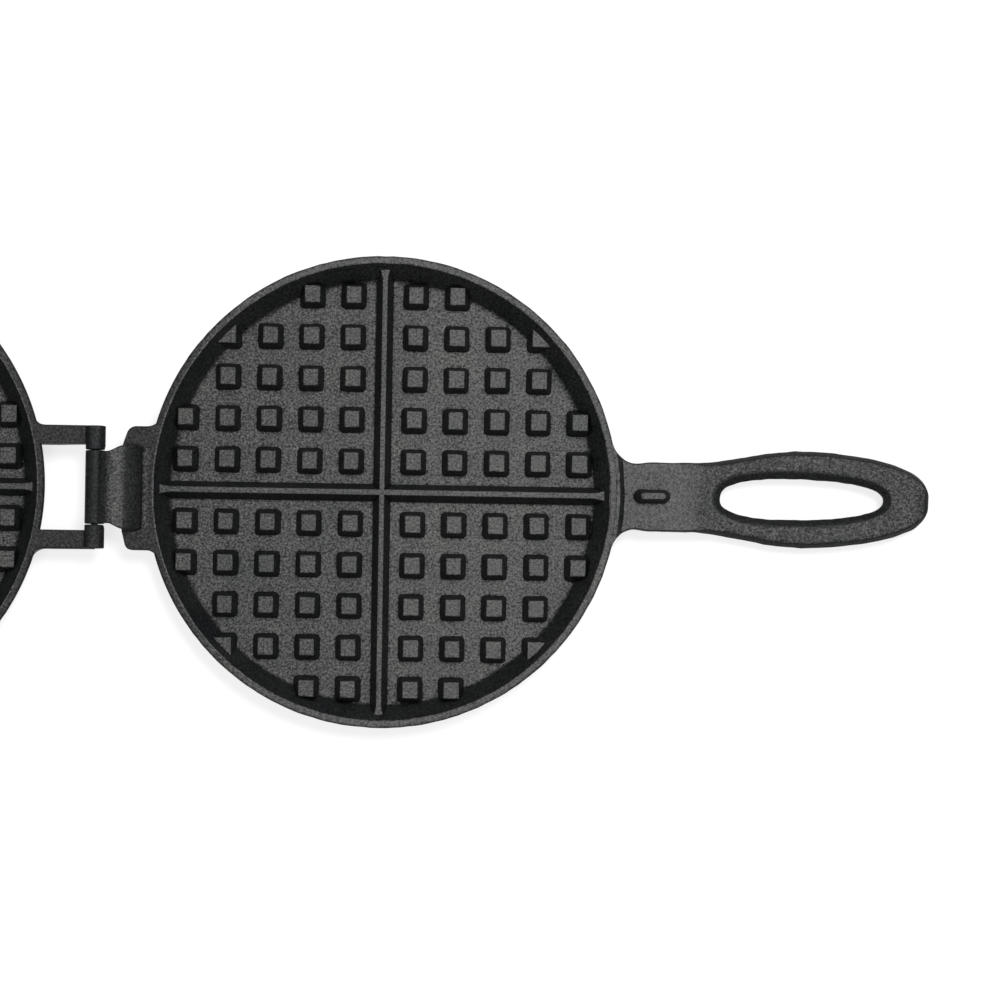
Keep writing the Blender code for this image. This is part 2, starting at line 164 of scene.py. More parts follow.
def rounded_edge(edge, steps):
    """How far a round edge stands in and down from its corner, from the flank to the top."""
    turns = [math.radians(turn) for turn in evenly(0, 90, steps)]
    return [(edge * (1 - math.cos(turn)), edge * (1 - math.sin(turn))) for turn in turns]


def drafted_block(shape, centre, foot, top):
    """A block that narrows upwards, with a hollow fillet at its foot and a rounded top edge."""
    levels = [(foot, stud_foot_corner, out, height) for out, height in foot_fillet]
    levels += [(top, stud_corner, -inset, grid_top - drop)
               for inset, drop in rounded_edge(stud_edge, stud_edge_steps)]
    rings = []
    for size, corner, out, height in levels:
        half = [length / 2 + out for length in size]
        rings.append(soft_ring(shape, centre, half, corner, height))
    close_stack(shape, rings)


def grid_places():
    """Where the studs stand: the same grid in each quarter, as far out as the wall lets it."""
    places = []
    place = stud_first
    while place < cavity_radius:
        places += [-place, place]
        place += stud_pitch
    return [(x, y) for x in places for y in places if math.hypot(x, y) < stud_farthest]


def stud_grid(name):
    """All the studs, each a hair off its place and size, as the sand mould leaves them. The
    four that stand in the wall itself are longer outwards, so their tops run into it."""
    uneven = random.Random(mould_seed)
    shape = bmesh.new()
    for place in grid_places():
        middle = [value + uneven.uniform(-1, 1) * stud_unevenness for value in place]
        top = [size + uneven.uniform(-2, 2) * stud_unevenness for size in stud_top]
        foot = stud_foot
        if math.hypot(*place) > wall_stud_from:
            middle = [value + math.copysign(wall_stud_extra / 2, value) for value in middle]
            top, foot = [[size + wall_stud_extra for size in sizes] for sizes in (top, foot)]
        drafted_block(shape, middle, foot, top)
    return piece_from(shape, name)


# Cross rib. Two raised bars cast across the pan, which part the waffle into quarters. They are
# drafted like the studs and run into the sloped wall, a little wider where they meet it.
rib_top_long = 0.0026
rib_top_cross = 0.0024
rib_flank = 0.0021
rib_widening = 0.0011
rib_widening_run = 0.0060
rib_widening_steps = 8
pattern_reach = cavity_radius - 0.0018


def ease(share):
    """Turns an even share into one that starts and ends gently, and stays within 0 and 1."""
    share = min(max(share, 0), 1)
    return share * share * (3 - 2 * share)


def combine(piece, tool, operation):
    """Joins or cuts one piece with another, keeps the result as plain mesh and drops the tool."""
    change = piece.modifiers.new("combine", "BOOLEAN")
    change.operation = operation
    change.solver = "MANIFOLD"
    change.object = tool
    result = bpy.data.meshes.new_from_object(piece.evaluated_get(bpy.context.evaluated_depsgraph_get()))
    piece.modifiers.clear()
    piece.data = result
    bpy.data.objects.remove(tool)
    return piece


def cross_rib(name, along_x, width):
    """Bridges drafted sections from wall to wall, with a soft foot and a rounded top edge."""
    side = [(rib_flank + out, z) for out, z in foot_fillet]
    side += [(-inset, grid_top - drop) for inset, drop in rounded_edge(stud_edge, stud_edge_steps)]
    distances = [cavity_radius - back for back in evenly(0, rib_widening_run, rib_widening_steps)]
    distances = [-distance for distance in distances] + distances[::-1]
    shape = bmesh.new()
    rings = []
    for distance in distances:
        wider = ease((abs(distance) - cavity_radius + rib_widening_run) / rib_widening_run)
        half = width / 2 + rib_widening * wider
        section = [(half + out, z) for out, z in side]
        section += [(-across, z) for across, z in reversed(section)]
        rings.append(ring_of(shape, [(distance, across, z) if along_x else (across, distance, z)
                                     for across, z in section]))
    close_stack(shape, rings)
    return piece_from(shape, name)


def waffle_pattern(name):
    """Studs trimmed by a cylinder that stands within the sloped wall, joined by the two ribs."""
    shape = bmesh.new()
    bmesh.ops.create_cone(shape, cap_ends=True, segments=pan_steps, radius1=pattern_reach,
                          radius2=pattern_reach, depth=rim_height * 2)
    pattern = combine(stud_grid(name), piece_from(shape, name + "_trim"), "INTERSECT")
    for along_x, width in ((True, rib_top_long), (False, rib_top_cross)):
        pattern = combine(pattern, cross_rib(name + "_rib", along_x, width), "UNION")
    return pattern


# Handle. A flat loop cast in one with the pan: a plain neck, a shallow step down to the grip,
# and a long oval bow whose end dips. All its edges are broad and soft where the hand closes.
neck_half = 0.0139
neck_waist = 0.0132
neck_waist_run = 0.0045
neck_edge = 0.0008
neck_end = pan_radius + 0.0278
neck_fillet = 0.0105
fillet_middle = math.sqrt((pan_radius + neck_fillet) ** 2 - (neck_waist + neck_fillet) ** 2)
fillet_start = fillet_middle * pan_radius / (pan_radius + neck_fillet)
fillet_steps = 10
bow_half = 0.0196
bow_middle = neck_end + 0.0475
bow_steps = 40
tip_length = lower_high.x - bow_middle
tip_fullness = 1.7
tip_bluntness = 2.9
tip_last_turn = 89
tip_steps = 40
tip_drop = 0.0016
tip_slope = 0.022
handle_drop = 0.0022
handle_top = rim_height - handle_drop
handle_root = 0.0040
handle_thickness = 0.0072
handle_edge = 0.0030
grip_drop = 0.0026
grip_slope = 0.014
# Each pair is a point on a soft edge: its share inwards from the flank and down from the top.
edge_shares = ((0, 1), (0.07, 0.80), (0.42, 0.28), (0.55, 0.12), (0.74, 0.03), (1, 0))
edge_most_of_half = 0.9
edge_most_of_thickness = 0.45
loop_middle = pan_radius + 0.0750
loop_half_length = 0.0332
loop_half_width = 0.0082
loop_edge_run = 0.0050
loop_edge_fall = 0.0026
loop_fullness = 2.4
loop_taper = 0.11
loop_steps = 128
step_run = 0.0020
step_below_rim = 0.0003
step_root = 0.0010
step_reach = 0.0008
step_sections = 12


def handle_half_width(x):
    """Half the handle's width: a fillet that leaves the pan's round, the neck and the bow."""
    if x < fillet_middle:
        back = fillet_middle - max(x, fillet_start)
        return neck_waist + neck_fillet - math.sqrt(neck_fillet ** 2 - back ** 2)
    half = neck_waist + (neck_half - neck_waist) * ease((x - fillet_middle) / neck_waist_run)
    return half + (bow_half - neck_half) * ease((x - neck_end) / (bow_middle - neck_end))


def handle_levels(x):
    """Top and bottom of the handle: neck, slope, grip, and a tip that dips a little."""
    dip = ease((x - bow_middle - tip_length + tip_slope) / tip_slope)
    top = handle_top - grip_drop * ease((x - neck_end) / grip_slope) - tip_drop * dip
    return top, top - handle_thickness


def ring_across(shape, x, half, top, bottom, edge):
    """An upright loop of edges across the handle, with all four corners softened."""
    edge = min(edge, half * edge_most_of_half, (top - bottom) * edge_most_of_thickness)
    section = [(half - inwards * edge, top - down * edge) for inwards, down in edge_shares]
    section += [(-y, z) for y, z in reversed(section)]
    section += [(y, top + bottom - z) for y, z in reversed(section)]
    return ring_of(shape, [(x, y, z) for y, z in section])


def handle_blank(name):
    """Bridges sections from inside the pan's wall along the neck and the bow to the blunt tip."""
    stations = [pan_radius - handle_root]
    stations += evenly(fillet_start, fillet_middle, fillet_steps)[:-1]
    stations += evenly(fillet_middle, bow_middle, bow_steps)
    shape = bmesh.new()
    rings = []
    for x in stations:
        edge = neck_edge + (handle_edge - neck_edge) * ease((x - neck_end) / grip_slope)
        rings.append(ring_across(shape, x, handle_half_width(x), *handle_levels(x), edge))
    for step in range(1, tip_steps + 1):
        share = math.sin(math.radians(tip_last_turn * math.sin(math.pi / 2 * step / tip_steps)))
        x = bow_middle + tip_length * share
        half = bow_half * (1 - share ** tip_fullness) ** (1 / tip_bluntness)
        top, bottom = handle_levels(x)
        left = min((bow_middle + tip_length - x) / handle_edge, 1)
        drop = handle_edge * (1 - math.sqrt(left * (2 - left)))
        rings.append(ring_across(shape, x, half, top - drop, bottom + drop, handle_edge))
    close_stack(shape, rings)
    return piece_from(shape, name)


def lines_round(points):
    """The edges of a circle, found from its points."""
    return list({line for point in points for line in point.link_edges})


def loop_hole(name):
    """The hole in the bow, as the block that is cut out: egg-shaped, wider at both faces."""
    grip = handle_top - grip_drop
    levels = [(loop_edge_run * inwards, grip - loop_edge_fall * down) for inwards, down in edge_shares]
    levels.append((loop_edge_run, grip + loop_edge_fall))
    levels = [(out, grip * 2 - handle_thickness - z) for out, z in reversed(levels)] + levels
    shape = bmesh.new()
    rings = []
    for out, z in levels:
        turned = bmesh.ops.create_circle(shape, segments=loop_steps, radius=1)["verts"]
        for point in turned:
            along, across = [math.copysign(abs(share) ** (2 / loop_fullness), share)
                             for share in point.co.xy]
            point.co = (loop_middle + (loop_half_length + out) * along,
                        (loop_half_width + out) * across * (1 - loop_taper * along), z)
        rings.append(lines_round(turned))
    close_stack(shape, rings)
    return piece_from(shape, name)


def rim_step(name):
    """The short slope between rim and neck: the neck's outline cut by a cone about the pan."""
    high = rim_height - step_below_rim
    shape = bmesh.new()
    rings = []
    for x in evenly(fillet_start - step_root, fillet_middle, step_sections):
        rings.append(ring_across(shape, x, handle_half_width(x), high, high - handle_thickness, step_root))
    close_stack(shape, rings)
    blank = piece_from(shape, name)
    slope = step_run / (high - handle_top)
    shape = bmesh.new()
    bmesh.ops.create_cone(shape, cap_ends=True, segments=pan_steps, depth=handle_thickness,
                          radius1=pan_radius + step_reach + slope * (handle_thickness - step_below_rim),
                          radius2=pan_radius + step_reach - slope * step_below_rim,
                          matrix=Matrix.Translation((0, 0, rim_height - handle_thickness / 2)))
    return combine(blank, piece_from(shape, name + "_cone"), "INTERSECT")


# Peg and socket. The lower neck carries a drafted oblong peg, cast in, and the upper neck the
# recess that takes it, so the closed plates can't slide off their open hinge.
peg_middle = pan_radius + 0.0137
peg_length = 0.0100
peg_width = 0.0026
peg_flank = 0.0018
peg_end_share = 0.6
peg_edge = 0.0003
peg_edge_steps = 3
peg_height = 0.0059
peg_root = 0.0010
peg_steps = 48
socket_room = 0.0017
socket_depth = 0.0017


def oblong_peg(name, length, width, flank, low, high, edge):
    """An upright oblong with round ends: drafted and edge-broken as a peg, plain as a socket."""
    levels = [(flank, low)]
    rounding = rounded_edge(edge, peg_edge_steps) if edge else [(0, 0)]
    levels += [(-inset, high - drop) for inset, drop in rounding]
    shape = bmesh.new()
    rings = []
    for out, z in levels:
        turned = bmesh.ops.create_circle(shape, segments=peg_steps, radius=1)["verts"]
        radius = width / 2 + out
        for point in turned:
            shift = math.copysign((length - width) / 2 + out * peg_end_share, point.co.x)
            point.co = (peg_middle + shift + radius * point.co.x, radius * point.co.y, z)
        rings.append(lines_round(turned))
    close_stack(shape, rings)
    return piece_from(shape, name)


# Hinge. The lower plate has two short cast ears with an arched tongue between them, whose rolled
# end is bored for the pin. The upper plate has two arms with open slots that drop over the pin.
hinge_x = -pan_radius - 0.0203
hinge_z = rim_height + 0.00015
knuckle = 0.0040
knuckle_edge = 0.0004
knuckle_inset = 0.0003
bore = 0.0017
hinge_gap = 0.0004
rod_steps = 64
rod_edge_steps = 4
ear_inner = 0.0163
ear_outer = 0.0249
ear_reach = pan_radius + 0.0081
ear_depth = 0.0090
# The corner of the far ear is rounder than that of the near one.
ear_corners = {1: 0.0040, -1: 0.0026}
ear_corner_end = 165
ear_corner_steps = 9
ear_fillet = 0.0060
ear_fillet_steps = 10
ear_edge = 0.0009
ear_edge_steps = 4
ear_tip_half = ear_inner + ear_edge * 1.5
ear_slant = 0.0013
arm_inner = 0.0173
arm_rise_start = pan_radius + 0.0045
arm_end_depth = knuckle * 0.95
arm_steps = 12
lug_root = 0.0015
lug_stagger = 0.00004
tongue_tip_half = 0.0147
tongue_tip_inset = 0.0003
tongue_root_half = 0.0169
tongue_flare_run = 0.0075
tongue_inside = 0.0032
tongue_below_rim = 0.00005
tongue_root_depth = 0.0110
tongue_root_run = 0.0026
arch_middle = -pan_radius - 0.0118
arch_radius = 0.0115
arch_crest = 0.00595
arch_thickness = 0.0045
arch_start_drop = 0.0004
arch_under_start = -45
arch_steps = 40


def rod_along_y(name, radius, near, far, rounding=0):
    """A round rod on the hinge's axis between two distances, its ends rounded where asked."""
    shape = bmesh.new()
    turn = Matrix.Translation((hinge_x, (near + far) / 2, hinge_z)) @ Matrix.Rotation(math.pi / 2, 4, "X")
    bmesh.ops.create_cone(shape, cap_ends=True, segments=rod_steps, radius1=radius, radius2=radius,
                          depth=far - near, matrix=turn)
    if rounding:
        ends = [line for line in shape.edges
                if abs(line.verts[0].co.y - line.verts[1].co.y) < merge_distance]
        bmesh.ops.bevel(shape, geom=ends, offset=rounding, segments=rod_edge_steps, profile=0.5,
                        affect="EDGES", material=-1)
    return piece_from(shape, name)


def hinge_lug(name, side, inner, run):
    """Bridges upright sections outwards from the pan, their outer edges softened. What would lie
    within the pan is held just inside its wall, each section a hair further out than the last."""
    widest = ear_outer + ear_fillet
    flare_x = -(math.sqrt(pan_radius ** 2 - widest ** 2) + ear_fillet - ear_edge)
    flare = arc((flare_x, widest), ear_fillet, 0, -90, ear_fillet_steps)
    stations = [(x, y, rim_height - ear_depth) for x, y in [(0, widest)] + flare]
    shape = bmesh.new()
    rings = []
    for number, (x, outer, bottom) in enumerate(stations + run):
        upper_edge = arc((outer - ear_edge, rim_height - ear_edge), ear_edge, 0, 90, ear_edge_steps)
        lower_edge = arc((outer - ear_edge, bottom + ear_edge), ear_edge, -90, 0, ear_edge_steps)
        section = [(inner, rim_height)] + upper_edge[::-1] + lower_edge[::-1] + [(inner, bottom)]
        places = []
        for y, z in section:
            wall = -math.sqrt((pan_radius - lug_root) ** 2 - y * y) - lug_stagger * number
            places.append((min(x, wall), side * y, z))
        rings.append(ring_of(shape, places))
    close_stack(shape, rings)
    return piece_from(shape, name)


def short_ear(name, side):
    """A lower ear: round at its outer corner, its end slanting further out beside the tongue."""
    bottom = rim_height - ear_depth
    corner = (ear_corners[side] - ear_reach, ear_outer - ear_corners[side])
    least = corner[1] + ear_edge
    rounded = arc(corner, ear_corners[side], 90, ear_corner_end, ear_corner_steps)
    run = [(x, max(y, least), bottom) for x, y in rounded]
    run.append((-ear_reach - ear_slant, ear_tip_half, bottom))
    return hinge_lug(name, side, ear_inner, run)


def long_arm(name, side):
    """An upper arm: its underside rises from the ear's depth to the eye at the hinge's axis."""
    run = []
    for share in evenly(0, 1, arm_steps):
        x = -(arm_rise_start + (-hinge_x - arm_rise_start) * share)
        depth = ear_depth + (arm_end_depth - ear_depth) * math.sin(share * math.pi / 2)
        run.append((x, ear_outer, rim_height - depth))
    return hinge_lug(name, side, arm_inner, run)


def arched_tongue(name):
    """Bridges sections from inside the wall over the arch to the barrel, wider at the root."""
    middle = (arch_middle, rim_height + arch_crest - arch_radius)
    end = math.degrees(math.atan2(hinge_z - middle[1], hinge_x - middle[0]))
    shoulder = rim_height - tongue_below_rim
    root = rim_height - tongue_root_depth
    start = math.degrees(math.asin((shoulder - arch_start_drop - middle[1]) / arch_radius))
    upper = [(tongue_inside - pan_radius, shoulder), (-pan_radius, shoulder)]
    upper += arc(middle, arch_radius, start, end, arch_steps)
    under = [(tongue_inside - pan_radius, root), (-pan_radius - tongue_root_run, root)]
    under += arc(middle, arch_radius - arch_thickness, arch_under_start, end, arch_steps)
    flare_start = hinge_x + knuckle + hinge_gap
    narrow = tongue_tip_half - tongue_tip_inset
    shape = bmesh.new()
    rings = []
    for high, low in zip(upper, under):
        along = Vector(low) - Vector(high)
        along.normalize()
        half = narrow + (tongue_root_half - narrow) * ease((high[0] - flare_start) / tongue_flare_run)
        section = []
        for inset, drop in reversed(rounded_edge(ear_edge, ear_edge_steps)):
            place = Vector(high) + along * drop
            section.append((place.x, half - inset, place.y))
        section.append((low[0], half, low[1]))
        section += [(x, -y, z) for x, y, z in reversed(section)]
        rings.append(ring_of(shape, section))
    close_stack(shape, rings)
    return piece_from(shape, name)


# Castings. Each plate is one piece of iron, so its shapes are joined into one closed body. The
# upper one is shaped in the lower one's place, then turned half a turn, as it lies when open.
smooth_angle = math.radians(32)
rim_edge_radius = cavity_radius + rim_round + rim_glint / 2
# Painted shade: steep faces are painted darker than level ones, as light from above leaves them darker.
painted_shade_on_slopes = 0.945
# Each pair is the slope at which the painted shade starts to grow, and how much more slope makes it full.
handle_slopes = (0.01, 0.10)
plate_slopes = (0.04, 0.30)
# Painted shade: the floor and the low faces in the pan are painted darker the deeper they lie.
painted_shade_at_floor = 0.08
# Painted shade: the pan is painted darker towards the hinge side, a fall-off of light.
painted_falloff_hingewards = 0.32
hingewards_from = 0.045
hingewards_run = 0.110
# Painted shade: outside the pan, the ears and the tongue's root are painted darker towards the hinge.
painted_shade_at_hinge = 0.84
hinge_rim_from = 0.030
hinge_rim_run = 0.065
# Painted shade: the grip, where the bow slopes away from the light, is painted darker.
painted_shade_on_grip = 0.48
grip_shade_run = 0.020
# Painted shade: the dipping tip of the handle is painted darker.
painted_shade_at_tip = 0.5
tip_shade_from = 0.007
tip_shade_run = 0.004
# Painted highlight: a light glint line is painted on the rounded inner edge of the rim.
painted_glint_on_rim_edge = 0.8
# Painted highlight and shade on the tongue: its barrel is painted dark and its crest light, a painted
# highlight along the arch's top.
painted_light_on_barrel = 0.05
painted_highlight_on_crest = 0.70
crest_above_rim = 0.0003
crest_slope = 0.08
crest_run = 0.002
# Painted highlight: a light line is painted along the brink where the tongue leaves the rim.
painted_highlight_on_brink = 0.60
cast_waves = 260
cast_unevenness = 0.00022
true_hinge_from = -0.084
true_hinge_run = 0.006
pocket_start = tongue_tip_half * 0.8
slot_length = knuckle * 1.5


def wear_and_light_share(x, y, z, slope):
    """How light a place is painted, partly wear but mostly painted light and shade: level tops lightest;
    steep walls, the deep floor, the hinge side, the grip and the tip darker as painted shade; painted
    highlights on the rim's inner edge, the tongue's crest and its brink.
    """
    at_rim_level = z > rim_height - rim_round / 4
    on_tongue = abs(y) < tongue_root_half
    # Painted highlight on the brink of the tongue.
    if on_tongue and at_rim_level and abs(x + pan_radius) < merge_distance:
        return painted_highlight_on_brink
    # Painted highlight on the tongue's crest, painted shade on its barrel.
    if on_tongue and x < -pan_radius and z > rim_height + crest_above_rim:
        crest = (1 - ease(slope / crest_slope)) * ease((x - hinge_x - knuckle) / crest_run)
        return painted_light_on_barrel + (painted_highlight_on_crest - painted_light_on_barrel) * crest
    distance = math.hypot(x, y)
    # Painted glint on the rim's rounded inner edge.
    if at_rim_level and cavity_radius <= distance < rim_edge_radius:
        return painted_glint_on_rim_edge
    # Painted shade on steep faces.
    slope_start, slope_run = handle_slopes if x > pan_radius else plate_slopes
    left = 1 - painted_shade_on_slopes * ease((slope - slope_start) / slope_run)
    if distance < cavity_radius:
        # Painted shade deep in the pan.
        left *= 1 - painted_shade_at_floor * ease((rim_height - z) / (rim_height - floor_height))
        # Painted fall-off of light towards the hinge side.
        return left * (1 - painted_falloff_hingewards * ease((hingewards_from - x) / hingewards_run))
    # Painted shade towards the hinge.
    left *= 1 - painted_shade_at_hinge * ease((-x - hinge_rim_from) / hinge_rim_run)
    # Painted shade on the grip.
    left *= 1 - painted_shade_on_grip * ease((x - neck_end) / grip_shade_run)
    # Painted shade at the handle's tip.
    return left * (1 - painted_shade_at_tip * ease((x - lower_high.x + tip_shade_from) / tip_shade_run))


def mark_wear_and_light(mesh):
    """Stores the wear and painted light share of each corner, for the iron's colour to read."""
    wear_and_light = mesh.attributes.new(name="wear_and_light", type="FLOAT", domain="CORNER")
    for corner, normal, share in zip(mesh.loops, mesh.corner_normals, wear_and_light.data):
        place = mesh.vertices[corner.vertex_index].co
        share.value = wear_and_light_share(*place, 1 - abs(normal.vector.z))


def roughen(mesh, seed_shift):
    """Moves each point by a smooth uneven field, as a sand mould leaves every wall a little off.
    The hinge stays true and the back flat, and what lies within the rim's height stays there."""
    for point in mesh.vertices:
        shift = noise.noise_vector(point.co * cast_waves + Vector((seed_shift, 0, 0))) * cast_unevenness
        shift *= ease((point.co.x - true_hinge_from) / true_hinge_run)
        if point.co.z < back_round:
            shift.z = 0
        if point.co.z < rim_height + merge_distance:
            shift.z = min(shift.z, rim_height - point.co.z)
        point.co += shift
        point.co.x = min(point.co.x, lower_high.x)
        point.co.y = min(max(point.co.y, -pan_radius), pan_radius)


def shared_casting(name):
    """What both plates have alike: the pan with its waffle pattern, and the handle."""
    handle = combine(handle_blank(name + "_handle"), loop_hole(name + "_loop"), "DIFFERENCE")
    plate = combine(spun_pan(name), waffle_pattern(name + "_pattern"), "UNION")
    plate = combine(plate, handle, "UNION")
    return combine(plate, rim_step(name + "_step"), "UNION")


def finish_casting(plate, node, body, seed_shift, place):
    """Cleans a joined plate, marks its wear and painted light and shade, makes it uneven and lays it in
    its place.
    """
    shape = bmesh.new()
    shape.from_mesh(plate.data)
    bmesh.ops.remove_doubles(shape, verts=shape.verts, dist=merge_distance)
    bmesh.ops.dissolve_degenerate(shape, edges=shape.edges, dist=merge_distance)
    shape.to_mesh(plate.data)
    shape.free()
    plate.data.shade_smooth()
    plate.data.set_sharp_from_angle(angle=smooth_angle)
    mark_wear_and_light(plate.data)
    roughen(plate.data, seed_shift)
    plate.data.transform(place)
    even = plate.modifiers.new("even_shading", "WEIGHTED_NORMAL")
    even.keep_sharp = True
    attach(plate, body)
    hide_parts(node)


lower = shared_casting("lower_casting")
for side in (-1, 1):
    combine(lower, short_ear("ear", side), "UNION")
combine(lower, arched_tongue("tongue"), "UNION")
combine(lower, rod_along_y("barrel", knuckle, -tongue_tip_half, tongue_tip_half, knuckle_edge), "UNION")
combine(lower, oblong_peg("peg", peg_length, peg_width, peg_flank, handle_top - peg_root,
                          handle_top + peg_height, peg_edge), "UNION")
combine(lower, rod_along_y("barrel_bore", bore, -tongue_tip_half * 2, tongue_tip_half * 2), "DIFFERENCE")
finish_casting(lower, "lower_plate", "lower_half", seed_shift=0, place=Matrix.Identity(4))

upper = shared_casting("upper_casting")
pin_low, pin_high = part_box("hinge_pin")
for side in (-1, 1):
    combine(upper, long_arm("arm", side), "UNION")
    near, far = sorted((side * (tongue_tip_half + hinge_gap), side * (ear_outer - knuckle_inset)))
    combine(upper, rod_along_y("knuckle", knuckle, near, far, knuckle_edge), "UNION")
    near, far = sorted((side * pocket_start, side * (pin_high[1] + hinge_gap)))
    combine(upper, rod_along_y("pocket", bore, near, far), "DIFFERENCE")
    slot = bmesh.new()
    slot_size = Matrix.Diagonal((slot_length, far - near, bore * 2, 1))
    slot_place = Matrix.Translation((hinge_x - slot_length / 2, (near + far) / 2, hinge_z))
    bmesh.ops.create_cube(slot, size=1, matrix=slot_place @ slot_size)
    combine(upper, piece_from(slot, "slot"), "DIFFERENCE")
combine(upper, oblong_peg("socket", peg_length + socket_room, peg_width + socket_room, 0,
                          handle_top - socket_depth, handle_top + socket_depth, 0), "DIFFERENCE")
turned_open = Matrix.Translation((hinge_x * 2, 0, 0)) @ Matrix.Rotation(math.pi, 4, "Z")
finish_casting(upper, "upper_plate", "upper_half", seed_shift=11, place=turned_open)


# Cast iron. Sand-cast and seasoned with baked oil, with painted light and shade: near black
# in the hollows and on steep walls as painted shade, a dull graphite grey on the tops as painted light,
# with a fine sandy grain, small bright specks and soft uneven sheen.
# The black skin and the grey bare iron stand in as shaded and lit copies of one iron: painted shade and
# painted light.
skin_and_shade_colours = ((0.0012, 0.0015, 0.0017), (0.0094, 0.0103, 0.0110))
skin_and_shade_band = (0.36, 0.62)
bare_and_lit_colours = ((0.012, 0.0121, 0.0123), (0.096, 0.0963, 0.0966))
bare_and_lit_band = (0.37, 0.61)
wear_tints = ((0.77, 0.78, 0.80), (1.16, 1.14, 1.10))
wear_band = (0.35, 0.68)
speck_colour = (0.135, 0.136, 0.137)
speck_shares = ((0, 0, 0), (1, 1, 1))
speck_band = (0.60, 0.72)
sheen_shares = ((0.50, 0.50, 0.50), (0.66, 0.66, 0.66))
sheen_band = (0.3, 0.7)
grain_look = {"Scale": 1120, "Detail": 4, "Roughness": 0.7}
ragged_look = {"Scale": 430, "Detail": 3, "Roughness": 0.6}
blotch_look = {"Scale": 55, "Detail": 4, "Roughness": 0.6}
sand_look = {"Scale": 2600, "Detail": 2, "Roughness": 0.6}
grain_bump = {"Strength": 0.55, "Distance": 0.0004}
sand_bump = {"Strength": 0.4, "Distance": 0.00015}
scoured_range = {"From Min": 0.0090, "From Max": 0.0110, "To Min": 1, "To Max": 0.72}
open_range = {"From Min": 0.42, "From Max": 0.86}
# How far, and with how many samples, the painted shade in corners is found.
corner_shade_depth = 0.0016
corner_shade_samples = 12
grain_in_corners = 0.7
ragged_in_corners = 1.2
grain_in_wear = 9.0
iron_metal = 0.15
iron_specular = 0.16


def new_material(name):
    """A material with the node tree to build in and the shader that already stands there."""
    made = bpy.data.materials.new(name)
    made.use_nodes = True
    return made, made.node_tree, made.node_tree.nodes["Principled BSDF"]


def fill_inputs(tree, node, inputs):
    """Links an input to the output that feeds it, or sets it where a plain value is given."""
    for name, value in inputs.items():
        if isinstance(value, bpy.types.NodeSocket):
            tree.links.new(value, node.inputs[name])
        else:
            node.inputs[name].default_value = value


def add_node(tree, kind, inputs, **settings):
    """Adds a shader node of a kind, makes its settings first and then fills its inputs."""
    node = tree.nodes.new("ShaderNode" + kind)
    for setting, value in settings.items():
        setattr(node, setting, value)
    fill_inputs(tree, node, inputs)
    return node


def calculated(tree, operation, first, second, use_clamp=False):
    """Works out one value from two, each a plain number or a node's output."""
    sums = add_node(tree, "Math", {0: first, 1: second}, operation=operation, use_clamp=use_clamp)
    return sums.outputs["Value"]


def colour_band(tree, source, band, colours):
    """Runs from the first colour to the second while the source crosses the band."""
    node = add_node(tree, "ValToRGB", {"Fac": source})
    for stop, share, colour in zip(node.color_ramp.elements, band, colours):
        stop.position = share
        stop.color = (*colour, 1)
    return node.outputs["Color"]


def colour_mix(tree, share, first, second, blend_type="MIX"):
    """Lays the second colour over the first by its share."""
    inputs = {"Factor": share, "A": first, "B": second}
    return add_node(tree, "Mix", inputs, data_type="RGBA", blend_type=blend_type).outputs["Result"]


